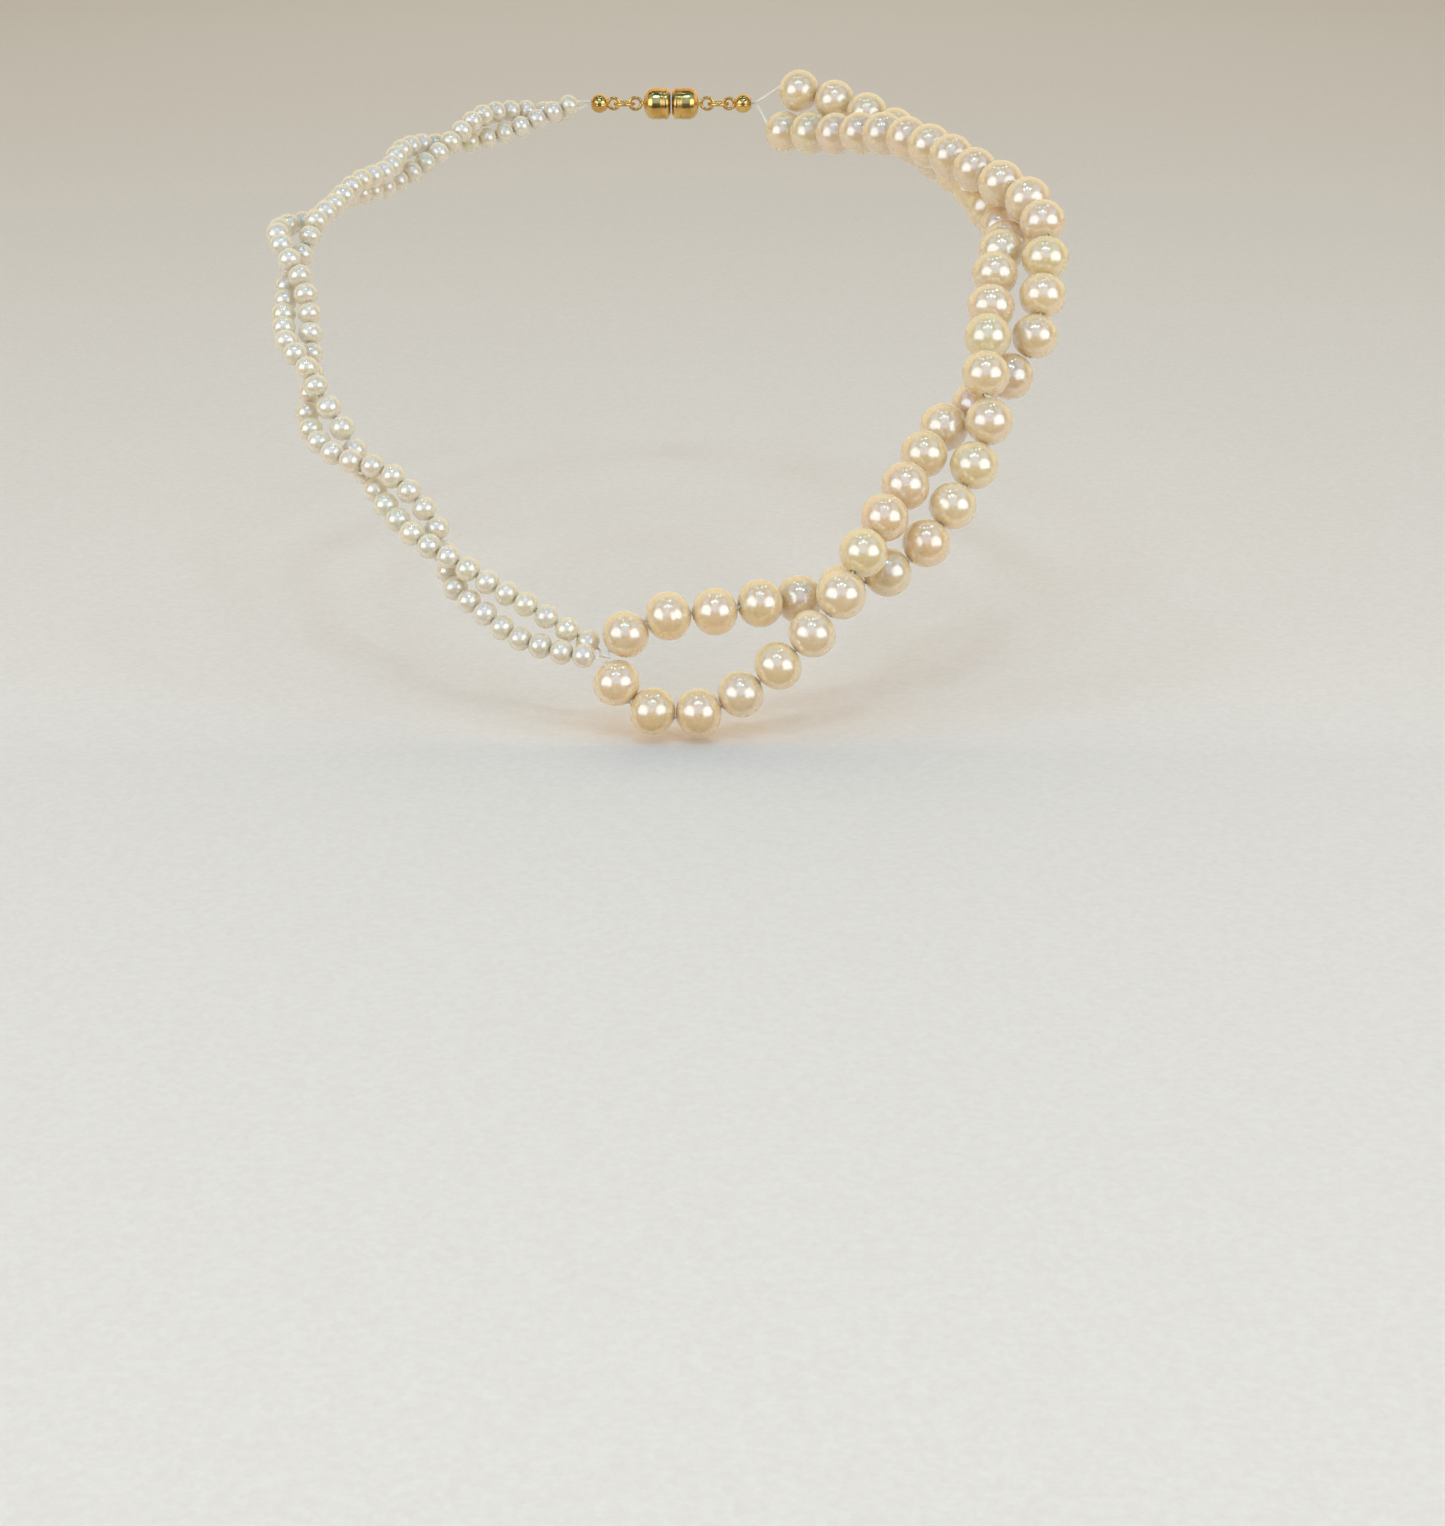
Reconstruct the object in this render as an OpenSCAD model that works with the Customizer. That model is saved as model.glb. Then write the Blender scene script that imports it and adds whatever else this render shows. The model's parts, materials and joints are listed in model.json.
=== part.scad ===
// Two-sided twisted pearl necklace, modelled as worn around a neck.
// One long strand of small button pearls is folded in half and twisted on
// itself (left side).  One strand of large pearls is folded in half and
// twisted on itself (right side).  The two folds link together at the front,
// and the four strand ends meet a two-part magnetic clasp at the nape.
// Frame: +Z up, -Y is the front of the chest, +X the large-pearl side.
// The origin is on the neck's axis, level with the nape.

/* [Large pearls] */
// Width of a large pearl across its thread
large_d = 8.5; // [8.2:0.1:8.6]
// Clear gap between two large pearls in a row
large_gap = 0.2; // [0.18:0.02:0.3]
// Radius of the drilled hole in a large pearl
large_bore_r = 0.45; // [0.4:0.05:0.6]

/* [Small pearls] */
// Width of a small pearl across its thread
small_d = 4.4; // [4.2:0.1:4.5]
// Clear gap between two small pearls in a row
small_gap = 0.12; // [0.1:0.02:0.2]
// Radius of the drilled hole in a small pearl
small_bore_r = 0.35; // [0.32:0.01:0.45]
// How much pearls differ in width, as a part of the whole
pearl_spread = 0.02; // [0:0.005:0.02]

/* [Thread] */
// Radius of the thread in the large pearls
large_thread_r = 0.25; // [0.2:0.01:0.28]
// Radius of the thread in the small pearls
small_thread_r = 0.2; // [0.15:0.01:0.22]

/* [Hinging] */
// Extra clear gap at each place where the rope is free to bend
bend_gap = 0.16; // [0.12:0.02:0.24]

/* [Magnetic clasp] */
// Outer radius of each clasp half
clasp_r = 3.2; // [3:0.1:3.6]
// Radius of each magnet
magnet_r = 2.1; // [1.9:0.05:2.2]
// Clear gap between the two mating faces
clasp_gap = 0.3; // [0.26:0.02:0.4]
// Radius of the wire in the jump rings
ring_wire_r = 0.4; // [0.34:0.02:0.42]
// Radius of a jump ring, to the middle of its wire
ring_r = 1.9; // [1.8:0.05:2]

/* [Hidden] */

// Middle line of each rope from the front to the nape.  Each row is
// [x, y, z, half the distance between the two plies, angle of ply a around
// the rope].  Angle 0 is outward from the body, 90 towards the inside.
SMALL = [
  [-12.5, -99.5, -69.5, 2.3, -45], [-17, -98.5, -68, 2.3, -75],
  [-23.5, -96, -65.5, 2.8, -100], [-29.5, -92.5, -62.5, 2.3, -100],
  [-34, -89.5, -60, 2.3, -125], [-37.5, -86, -57, 2.3, -175],
  [-40.5, -83, -53.5, 2.4, -225], [-44.5, -79, -50, 2.4, -265],
  [-48.5, -75, -47, 2.3, -300], [-52.5, -72, -45, 2.3, -355],
  [-57.5, -68, -41, 2.4, -415], [-61, -63, -37, 2.5, -460],
  [-62.5, -58.5, -32, 2.3, -505], [-65, -53, -27.5, 2.3, -560],
  [-66, -47.5, -23.5, 2.4, -595], [-67, -42, -19.5, 2.3, -630],
  [-68.5, -37, -16, 2.3, -675], [-68.5, -31.5, -12.5, 2.8, -735],
  [-67.5, -25.5, -10.5, 3, -775], [-64, -18, -9.5, 2.5, -800],
  [-60.5, -8, -7, 2.3, -805], [-55, 3.5, -6.5, 2.3, -820],
  [-51, 13, -4, 2.3, -880], [-45, 22, -2, 2.3, -950],
  [-37.5, 30, 0, 2.3, -1030], [-28.5, 36.5, 1.5, 2.3, -1100],
  [-20, 41, 2.5, 2.3, -1150]
];
LARGE = [
  [25.5, -96, -64, 4.4, -40], [31.5, -92, -60, 4.4, 0],
  [37.5, -88.5, -56, 4.4, 45], [42.5, -84.5, -52, 4.4, 80],
  [46.5, -79.5, -47.5, 4.4, 100], [50, -74, -43, 4.4, 120],
  [53, -69, -39, 4.4, 145], [56, -64, -33.5, 4.4, 205],
  [59, -60, -29.5, 4.4, 240], [61.5, -56, -25, 4.4, 285],
  [63, -51, -20, 4.4, 310], [64, -45, -15, 4.4, 320],
  [65, -38, -10.5, 4.4, 355], [64, -28.5, -8.5, 4.4, 395],
  [59.5, -17, -5.5, 4.4, 430], [54.5, -5, -2.5, 4.4, 455],
  [49.5, 6, -1, 4.4, 470], [44.5, 15, 0, 4.4, 490],
  [38, 24, 1, 4.4, 520], [30, 32, 2, 4.4, 550],
  [21.5, 38.5, 2.5, 4.4, 580]
];
// The open loop that the folded large strand makes at the front, from the
// lower run round the fold to the upper run.
LOOP_LOW = [[20.5, -102, -71], [14, -103, -76], [7, -104.5, -79], [-1, -104.7, -78.8], [-6.8, -102.8, -75]];
FOLD = [-8.2, -100.7, -70.5];
LOOP_UP = [[-5, -99, -66.5], [2, -98, -64], [9.5, -97.5, -63.5], [17, -96, -62.5]];
// Slope of the chest and shoulders that the ropes lie on, in degrees
lie = 35;

// Where the ropes bend: [place on ply a, place on ply b] along the rows above
SMALL_BEND = [[-0.5, -0.35], [5.6, 5.7], [10.9, 11.2], [15.5, 15.8], [20, 20], [23.5, 23.5], [26, 26]];
SMALL_COUNT = [[10, 9], [9, 8], [8, 8], [9, 8], [10, 10], [7, 7]];
LARGE_BEND = [[0.05, 0.55], [4.3, 4.5], [8.7, 9.1], [13.1, 13.1], [16.4, 16.4], [20, 20]];
LARGE_COUNT = [[4, 4], [4, 4], [5, 4], [5, 5], [5, 5]];
LOOP_COUNT = [6, 5];

// Clear gap between pearls in the open loop, and the bare thread each side of its fold
loop_gap = 0.42;
fold_bare = 0.7;
// How far a thread stands out of the end pearls of a run, short of the next run's thread
thread_stub = 0.08;
// Nape fittings
clasp_y = 43.5;
clasp_z = 3;
shell_l = 5.6;
cover_x = 14.8;
cover_r = 1.9;
loop_x = 11.9;
ring_x = 9.7;
eyelet_x = 7.4;

function unit(v) = v / norm(v);
// Smooth curve through the rows of P, extended straight past both ends
function row(P, i) = i < 0 ? P[0] + i * (P[1] - P[0]) : i > len(P) - 1 ? P[len(P) - 1] + (i - len(P) + 1) * (P[len(P) - 1] - P[len(P) - 2]) : P[i];
function blend4(a, b, c, d, t) = 0.5 * ((2 * b) + (c - a) * t + (2 * a - 5 * b + 4 * c - d) * t * t + (3 * b - a - 3 * c + d) * t * t * t);
function along(P, u) = let (i = floor(u), t = u - i) blend4(row(P, i - 1), row(P, i), row(P, i + 1), row(P, i + 2), t);
function xyz(q) = [q[0], q[1], q[2]];
function outward(q, t) = let (r = unit([q[0], q[1], 0]), n = r * cos(lie) + [0, 0, sin(lie)]) unit(n - t * (n * t));
// A point of one ply: side 1 is the small rope, -1 the large; k 1 is ply a, -1 ply b
function ply(P, side, k, u) = let (q = along(P, u), t = unit(xyz(along(P, u + 0.05)) - xyz(along(P, u - 0.05))), n = outward(q, t), b = side * cross(t, n))
  xyz(q) + k * q[3] * (cos(q[4]) * n + sin(q[4]) * b);

// Running length along a list of points, and the point at a given length
function running(pts) = [for (i = 0, s = 0; i < len(pts); s = s + (i + 1 < len(pts) ? norm(pts[i + 1] - pts[i]) : 0), i = i + 1) s];
function seek(S, s, lo, hi) = hi - lo <= 1 ? lo : let (m = floor((lo + hi) / 2)) S[m] <= s ? seek(S, s, m, hi) : seek(S, s, lo, m);
function at_length(pts, S, s) = let (i = seek(S, s, 0, len(S) - 1), f = (s - S[i]) / (S[i + 1] - S[i])) pts[i] + f * (pts[i + 1] - pts[i]);

// Pearls of one run: [centre, axis, length, width], evenly spaced between its two ends,
// with clear lengths e0 and e1 of bare thread at the ends
function pearls(pts, n, gap, d, seed, e0, e1) = let (S = running(pts), total = S[len(S) - 1], p = (total - e0 - e1) / n, l = p - gap)
  [for (k = [0 : n - 1]) let (s = e0 + (k + 0.5) * p, c = at_length(pts, S, s), a = unit(at_length(pts, S, s + 0.42 * l) - at_length(pts, S, s - 0.42 * l)))
    [c, a, l, max(l, d * (1 + pearl_spread * sin(137 * (k + seed) + 61 * seed)))]];
function ply_points(P, side, k, u0, u1) = let (m = ceil(abs(u1 - u0) * 10)) [for (i = [0 : m]) ply(P, side, k, u0 + (u1 - u0) * i / m)];
function ply_no(k) = k > 0 ? 0 : 1;
function small_run(i, k) = let (c = ply_no(k)) pearls(ply_points(SMALL, 1, k, SMALL_BEND[i][c], SMALL_BEND[i + 1][c]), SMALL_COUNT[i][c], small_gap, small_d, 3 * i + c + 1, bend_gap / 2, bend_gap / 2);
function large_run(i, k) = let (c = ply_no(k)) pearls(ply_points(LARGE, -1, k, LARGE_BEND[i][c], LARGE_BEND[i + 1][c]), LARGE_COUNT[i][c], large_gap, large_d, 5 * i + c + 2, bend_gap / 2, bend_gap / 2);
function small_bend(i, k) = ply(SMALL, 1, k, SMALL_BEND[i][ply_no(k)]);
function large_bend(i, k) = ply(LARGE, -1, k, LARGE_BEND[i][ply_no(k)]);

// The loop's thread line runs on from ply a's first bend, round the fold, and into ply b's
LOOP = concat([ply(LARGE, -1, 1, LARGE_BEND[0][0] + 1), large_bend(0, 1)], LOOP_LOW, [FOLD], LOOP_UP, [large_bend(0, -1), ply(LARGE, -1, -1, LARGE_BEND[0][1] + 1)]);
fold_at = len(LOOP_LOW) + 2;
function loop_points(u0, u1) = let (m = ceil((u1 - u0) * 12)) [for (i = [0 : m]) along(LOOP, u0 + (u1 - u0) * i / m)];
LOWER = pearls(loop_points(1, fold_at), LOOP_COUNT[0], loop_gap, large_d - 0.2, 40, bend_gap / 2, fold_bare);
UPPER = pearls(loop_points(fold_at, len(LOOP) - 2), LOOP_COUNT[1], loop_gap, large_d - 0.2, 47, fold_bare, bend_gap / 2);

// The link: the small strand's thread turns round the large strand's bare thread at the fold
last_low = LOWER[LOOP_COUNT[0] - 1];
mouth_low = last_low[0] + last_low[1] * last_low[2] / 2;
mouth_up = UPPER[0][0] - UPPER[0][1] * UPPER[0][2] / 2;
link_c = (mouth_low + mouth_up) / 2;
link_axis = unit(mouth_up - mouth_low);
small_start = (small_bend(0, 1) + small_bend(0, -1)) / 2;
link_w = unit((small_start - link_c) - link_axis * ((small_start - link_c) * link_axis));
link_v = cross(link_axis, link_w);
link_r = large_thread_r + small_thread_r + 0.08;
function leave(k, e) = let (p = small_run(0, k)[0]) p[0] - (p[2] / 2 + e) * p[1];
LINK = concat([leave(1, 0.14), leave(1, 0.54), link_c + 1.4 * link_w + 0.42 * link_v],
  [for (a = [100 : -25 : -100]) link_c + link_r * (-cos(a) * link_w + sin(a) * link_v)],
  [link_c + 1.4 * link_w - 0.42 * link_v, leave(-1, 0.54), leave(-1, 0.14)]);

// Thread line of a run: straight through each pearl's two mouths, and just out of the end ones
function mouths(run) = [for (p = run, e = [-0.5, 0.5]) p[0] + e * p[2] * p[1]];
function stub(run, e) = let (p = e < 0 ? run[0] : run[len(run) - 1]) p[0] + e * (p[2] / 2 + thread_stub) * p[1];

// A round cord of eight sides swept along a line of points.  Where it turns
// sharply, from one pearl's mouth to the next, the soft thread is squeezed thinner.
function square_to(n, t) = unit(n - t * (n * t));
function tangents(line) = let (m = len(line) - 1) [for (i = [0 : m]) i == 0 ? unit(line[1] - line[0]) : i == m ? unit(line[m] - line[m - 1]) : unit(unit(line[i] - line[i - 1]) + unit(line[i + 1] - line[i]))];
function side_of(t) = abs(t[2]) < 0.8 ? unit(cross(t, [0, 0, 1])) : unit(cross(t, [1, 0, 0]));
function frames(T) = [for (i = 0, n = side_of(T[0]); i < len(T); i = i + 1, n = i < len(T) ? square_to(n, T[i]) : n) n];
module cord(line, r) {
  T = tangents(line);
  N = frames(T);
  m = len(line);
  squeeze = [for (i = [0 : m - 1]) i == 0 || i == m - 1 ? 1 : max(0.55, pow(T[i] * unit(line[i + 1] - line[i]), 1.5))];
  pts = [for (i = [0 : m - 1]) let (b = cross(T[i], N[i])) for (j = [0 : 7]) line[i] + r * squeeze[i] * (cos(45 * j) * N[i] + sin(45 * j) * b)];
  polyhedron(points = pts, faces = concat([[for (j = [0 : 7]) j]], [for (i = [0 : m - 2], j = [0 : 7]) let (a = i * 8 + j, b = i * 8 + (j + 1) % 8) [a, a + 8, b + 8, b]], [[for (j = [7 : -1 : 0]) (m - 1) * 8 + j]]), convexity = 10);
}

// Puts a shape made along +Z at a point, pointing along a direction
module aim(c, d) translate(c) rotate([0, acos(max(-1, min(1, d[2]))), atan2(d[1], d[0])]) children();

// A drilled button pearl: a ball pulled out to a wider disc, with its bore
module pearl(l, w, bore) {
  f = (w - l) / 2;
  rotate_extrude($fn = 40) intersection() {
    union() {
      translate([f, 0]) circle(d = l, $fn = 40);
      if (f > 0) translate([0, -l / 2]) square([f, l]);
    }
    translate([bore, -l]) square([w, 2 * l]);
  }
}
module pearl_row(run, bore) for (p = run) aim(p[0], p[1]) pearl(p[2], p[3], bore);

module large_pearls(i, k) color("#ead9b8") pearl_row(large_run(i, k), large_bore_r);
module small_pearls(i, k) color("#e6dcc4") pearl_row(small_run(i, k), small_bore_r);
module large_loop_lower_pearls() color("#ead9b8") pearl_row(LOWER, large_bore_r);
module large_loop_upper_pearls() color("#ead9b8") pearl_row(UPPER, large_bore_r);
module large_loop_thread() color("#f2efe6")
  cord(concat([stub(LOWER, -1)], mouths(LOWER), mouths(UPPER), [stub(UPPER, 1)]), large_thread_r);
module small_fold_thread() color("#f2efe6") cord(LINK, small_thread_r);
module large_threads(i) color("#f2efe6") for (k = [1, -1])
  let (run = large_run(i, k)) cord(concat([stub(run, -1)], mouths(run), i == len(LARGE_COUNT) - 1 ? knot_end(1, k) : [stub(run, 1)]), large_thread_r);
module small_threads(i) color("#f2efe6") for (k = [1, -1])
  let (run = small_run(i, k)) cord(concat([stub(run, -1)], mouths(run), i == len(SMALL_COUNT) - 1 ? knot_end(-1, k) : [stub(run, 1)]), small_thread_r);

// Nape fittings, made for the large side (s = 1) and turned over for the small side (s = -1)
knot_r = 1.25;
// The last of a thread: in line with the cover's mouth, then up to the knot
function knot_end(s, k) = [for (x = [cover_x + 2.9, cover_x + knot_r + 0.02]) [s * x, clasp_y, clasp_z - 0.4 * k]];
module place(s) translate([0, clasp_y, clasp_z]) mirror([s < 0 ? 1 : 0, 0, 0]) children();
// A turned shape about the X axis, from a profile of [distance along X, radius]
module turned(profile) rotate([0, 90, 0]) rotate_extrude($fn = 48) polygon([for (p = profile) [p[1], p[0]]]);
module wire_ring(R, r) rotate_extrude($fn = 64) translate([R, 0]) circle(r = r, $fn = 36);

// The two threads are tied in one knot
module end_knot(s) color("#f2efe6") place(s) translate([cover_x, 0, 0]) sphere(r = knot_r, $fn = 32);
// Cup that closes over the knot, open towards the pearls, with its hanging loop
module end_cover(s) color("#d8b25e") place(s) union() {
  difference() {
    translate([cover_x, 0, 0]) sphere(r = cover_r, $fn = 48);
    translate([cover_x, 0, 0]) sphere(r = cover_r - 0.35, $fn = 48);
    translate([cover_x + 0.5, 0, 0]) rotate([0, 90, 0]) cylinder(r = 0.95, h = 3, $fn = 48);
  }
  translate([loop_x, 0, 0]) rotate([90, 0, 0]) wire_ring(1.1, 0.35);
}
module jump_ring(s) color("#d8b25e") place(s) translate([ring_x, 0, 0]) wire_ring(ring_r, ring_wire_r);
// Eyelet with its rivet, which turns in the end wall of the clasp half
module clasp_eyelet(s) color("#d8b25e") place(s) union() {
  translate([eyelet_x, 0, 0]) rotate([90, 0, 0]) wire_ring(1.2, 0.35);
  translate([4.3, 0, 0]) rotate([0, 90, 0]) cylinder(r = 0.95, h = 0.4, $fn = 40);
  translate([4.6, 0, 0]) rotate([0, 90, 0]) cylinder(r = 0.5, h = 1.65, $fn = 40);
}
// Turned shell of one clasp half: bevelled mouth for the magnet, hollow behind it
module clasp_shell(s) color("#d8b25e") place(s) {
  m = clasp_gap / 2;
  b = magnet_r + 0.05;
  turned([[m, b], [m + 0.5, clasp_r - 0.15], [m + 0.75, clasp_r], [3.9, clasp_r], [4.7, clasp_r - 0.35], [5.3, clasp_r - 1.1], [shell_l, 1.3], [shell_l, 0.56],
    [4.8, 0.56], [4.8, 1.2], [3.1, 1.2], [3.1, b]]);
}
module clasp_magnet(s) color("#b9bcc2") place(s) translate([clasp_gap / 2, 0, 0]) rotate([0, 90, 0]) cylinder(r = magnet_r, h = 3.05 - clasp_gap / 2, $fn = 48);

large_loop_lower_pearls();
large_loop_upper_pearls();
large_loop_thread();
large_pearls(0, 1);  // large_pearls_a1
large_pearls(0, -1);  // large_pearls_b1
large_threads(0);  // large_threads_1
large_pearls(1, 1);  // large_pearls_a2
large_pearls(1, -1);  // large_pearls_b2
large_threads(1);  // large_threads_2
large_pearls(2, 1);  // large_pearls_a3
large_pearls(2, -1);  // large_pearls_b3
large_threads(2);  // large_threads_3
large_pearls(3, 1);  // large_pearls_a4
large_pearls(3, -1);  // large_pearls_b4
large_threads(3);  // large_threads_4
large_pearls(4, 1);  // large_pearls_a5
large_pearls(4, -1);  // large_pearls_b5
large_threads(4);  // large_threads_5
small_fold_thread();
small_pearls(0, 1);  // small_pearls_a1
small_pearls(0, -1);  // small_pearls_b1
small_threads(0);  // small_threads_1
small_pearls(1, 1);  // small_pearls_a2
small_pearls(1, -1);  // small_pearls_b2
small_threads(1);  // small_threads_2
small_pearls(2, 1);  // small_pearls_a3
small_pearls(2, -1);  // small_pearls_b3
small_threads(2);  // small_threads_3
small_pearls(3, 1);  // small_pearls_a4
small_pearls(3, -1);  // small_pearls_b4
small_threads(3);  // small_threads_4
small_pearls(4, 1);  // small_pearls_a5
small_pearls(4, -1);  // small_pearls_b5
small_threads(4);  // small_threads_5
small_pearls(5, 1);  // small_pearls_a6
small_pearls(5, -1);  // small_pearls_b6
small_threads(5);  // small_threads_6
end_knot(-1);  // small_end_knot
end_cover(-1);  // small_end_cover
jump_ring(-1);  // small_jump_ring
clasp_eyelet(-1);  // small_clasp_eyelet
clasp_shell(-1);  // small_clasp_shell
clasp_magnet(-1);  // small_clasp_magnet
end_knot(1);  // large_end_knot
end_cover(1);  // large_end_cover
jump_ring(1);  // large_jump_ring
clasp_eyelet(1);  // large_clasp_eyelet
clasp_shell(1);  // large_clasp_shell
clasp_magnet(1);  // large_clasp_magnet
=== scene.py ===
"""Looks for the two-sided twisted pearl necklace: pearls, thread, nape fittings, light and camera."""
import json
import math

import bpy
import numpy as np
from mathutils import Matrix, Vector


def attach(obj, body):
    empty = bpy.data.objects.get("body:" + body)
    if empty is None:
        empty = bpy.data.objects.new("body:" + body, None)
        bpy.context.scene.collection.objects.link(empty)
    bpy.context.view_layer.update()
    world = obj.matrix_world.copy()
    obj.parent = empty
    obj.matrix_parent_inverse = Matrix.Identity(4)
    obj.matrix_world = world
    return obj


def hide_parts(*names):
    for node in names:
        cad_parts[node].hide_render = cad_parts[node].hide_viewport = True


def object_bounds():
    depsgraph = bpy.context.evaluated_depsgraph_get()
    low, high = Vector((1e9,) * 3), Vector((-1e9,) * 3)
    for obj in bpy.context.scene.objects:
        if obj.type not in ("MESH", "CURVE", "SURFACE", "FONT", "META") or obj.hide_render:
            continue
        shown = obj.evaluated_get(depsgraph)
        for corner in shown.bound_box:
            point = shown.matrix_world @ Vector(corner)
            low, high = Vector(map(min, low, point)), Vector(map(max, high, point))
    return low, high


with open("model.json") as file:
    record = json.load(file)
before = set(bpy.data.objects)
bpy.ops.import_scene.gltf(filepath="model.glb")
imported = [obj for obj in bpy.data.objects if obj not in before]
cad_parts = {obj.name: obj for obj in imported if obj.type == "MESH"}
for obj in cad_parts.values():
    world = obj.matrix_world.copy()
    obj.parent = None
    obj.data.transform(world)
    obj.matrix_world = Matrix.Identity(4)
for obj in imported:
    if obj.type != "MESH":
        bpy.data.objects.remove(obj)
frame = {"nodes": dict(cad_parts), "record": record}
cad_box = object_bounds()
MM = 0.001
scene = bpy.context.scene

# ---------------------------------------------------------------- camera
cam_data = bpy.data.cameras.new("camera")
cam_data.sensor_fit = "AUTO"
cam_data.sensor_width = 36.0
cam_data.lens = 67.4
cam_data.clip_start = 0.01
cam_data.clip_end = 50
cam = bpy.data.objects.new("camera", cam_data)
cam.location = (0.010573, -0.557373, 0.076803)
cam.rotation_euler = (math.radians(70), 0, 0)
scene.collection.objects.link(cam)
scene.camera = cam
scene.view_settings.view_transform = "Standard"
scene.view_settings.look = "None"


# ---------------------------------------------------------------- meshes
def new_mesh(name, verts, faces, attrs=None, material=None, smooth=True):
    me = bpy.data.meshes.new(name)
    me.from_pydata([tuple(v) for v in verts], [], [tuple(f) for f in faces])
    me.update()
    if smooth:
        me.polygons.foreach_set("use_smooth", [True] * len(me.polygons))
    for key, (kind, value) in (attrs or {}).items():
        a = me.attributes.new(key, kind, "POINT")
        a.data.foreach_set("color" if kind == "FLOAT_COLOR" else "vector", np.asarray(value, np.float32).ravel())
    ob = bpy.data.objects.new(name, me)
    scene.collection.objects.link(ob)
    if material:
        me.materials.append(material)
    return ob


def grid_faces(m, n, wrap_m, offset=0):
    """Quads of m rings with n points each, closed round each ring, and from the last ring to the first if wrap_m."""
    i = np.arange(m if wrap_m else m - 1)
    j = np.arange(n)
    I, J = np.meshgrid(i, j, indexing="ij")
    a = I * n + J
    b = I * n + (J + 1) % n
    c = ((I + 1) % m) * n + (J + 1) % n
    d = ((I + 1) % m) * n + J
    return np.stack([a, b, c, d], -1).reshape(-1, 4) + offset


def basis(axis):
    axis = axis / np.linalg.norm(axis)
    h = np.array([0, 0, 1.0]) if abs(axis[2]) < 0.8 else np.array([1.0, 0, 0])
    u = np.cross(axis, h)
    u /= np.linalg.norm(u)
    return u, np.cross(axis, u), axis


def merge(parts):
    """One list of vertices and faces from several (verts, faces) pairs."""
    verts, faces, k = [], [], 0
    for v, f in parts:
        verts.append(np.asarray(v, float))
        faces += [[int(x) + k for x in q] for q in f]
        k += len(v)
    return np.concatenate(verts), faces


def solids(node):
    """Each separate solid of a CAD node: (centre, axis of its turned shape, length along it, width), in mm."""
    me = frame["nodes"][node].data
    co = np.empty(len(me.vertices) * 3)
    me.vertices.foreach_get("co", co)
    key = np.round(co.reshape(-1, 3) / 1e-6).astype(np.int64)
    uniq, inv = np.unique(key, axis=0, return_inverse=True)
    me.calc_loop_triangles()
    T = np.empty(len(me.loop_triangles) * 3, np.int32)
    me.loop_triangles.foreach_get("vertices", T)
    T = inv.ravel()[T.reshape(-1, 3)]
    lab = np.arange(len(uniq))
    while True:
        new = lab.copy()
        np.minimum.at(new, T.ravel(), np.repeat(lab[T].min(1), 3))
        new = new[new]
        if (new == lab).all():
            break
        lab = new
    P = uniq * 1e-3
    out = []
    first = lab[T[:, 0]]
    for l in np.unique(first):
        tri = T[first == l]
        vs = P[np.unique(tri)]
        c0 = vs.mean(0)
        A, B, C = (P[tri[:, k]] - c0 for k in range(3))
        vol = np.einsum("ij,ij->i", A, np.cross(B, C)) / 6
        V = vol.sum()
        S = A + B + C
        g = (vol[:, None] * S / 4).sum(0) / V
        M = sum(np.einsum("n,ni,nj->ij", vol, X, X) for X in (S, A, B, C)) / 20 - V * np.outer(g, g)
        w, E = np.linalg.eigh(M / V)
        a = E[:, 0]
        c = c0 + g
        h = (vs - c) @ a
        rho = np.linalg.norm(vs - c - np.outer(h, a), axis=1)
        out.append((c, a, 2 * np.abs(h).max(), 2 * rho.max()))
    return out


def in_order(items, start):
    """The solids of a run one after another, from the one nearest to start, with each axis pointing onwards."""
    left, out, p = list(items), [], np.asarray(start, float)
    while left:
        k = min(range(len(left)), key=lambda i: np.linalg.norm(left[i][0] - p))
        q = left.pop(k)
        step = q[0] - p
        out.append([q[0], q[1] * (1 if q[1] @ step >= 0 else -1), q[2], q[3]])
        p = q[0]
    return out


# ---------------------------------------------------------------- the runs of pearls, read from the frame
LINK_NEAR = np.array([-9.0, -100.6, -70.4])
low = in_order(solids("large_loop_lower_pearls"), LINK_NEAR)
up = in_order(solids("large_loop_upper_pearls"), LINK_NEAR)
runs = {"large_loop_lower_pearls": low, "large_loop_upper_pearls": up}
for side, count, first in (("large", 5, (low[-1][0], up[-1][0])), ("small", 6, (LINK_NEAR, LINK_NEAR))):
    at = {"a": first[0], "b": first[1]}
    for i in range(1, count + 1):
        for ply in "ab":
            run = in_order(solids(f"{side}_pearls_{ply}{i}"), at[ply])
            runs[f"{side}_pearls_{ply}{i}"] = run
            at[ply] = run[-1][0]
# the first pearl of a run gets its direction from the run itself
for run in runs.values():
    d = run[1][0] - run[0][0]
    if run[0][1] @ d < 0:
        run[0][1] = -run[0][1]


# ---------------------------------------------------------------- pearls
def srgb(r, g, b):
    return tuple(((c / 255 + 0.055) / 1.055) ** 2.4 if c > 10 else c / 255 / 12.92 for c in (r, g, b))


def to_hsv_shift(rgb, warm, pink, light):
    r, g, b = rgb
    return (
        min(1, r * light * (1 + 0.022 * pink)),
        min(1, g * light * (1 - 0.03 * pink - 0.01 * warm)),
        min(1, b * light * (1 - 0.12 * warm + 0.012 * pink)),
    )


BODY_LARGE = srgb(244, 209, 152)
BODY_SMALL = srgb(239, 218, 180)
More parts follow.
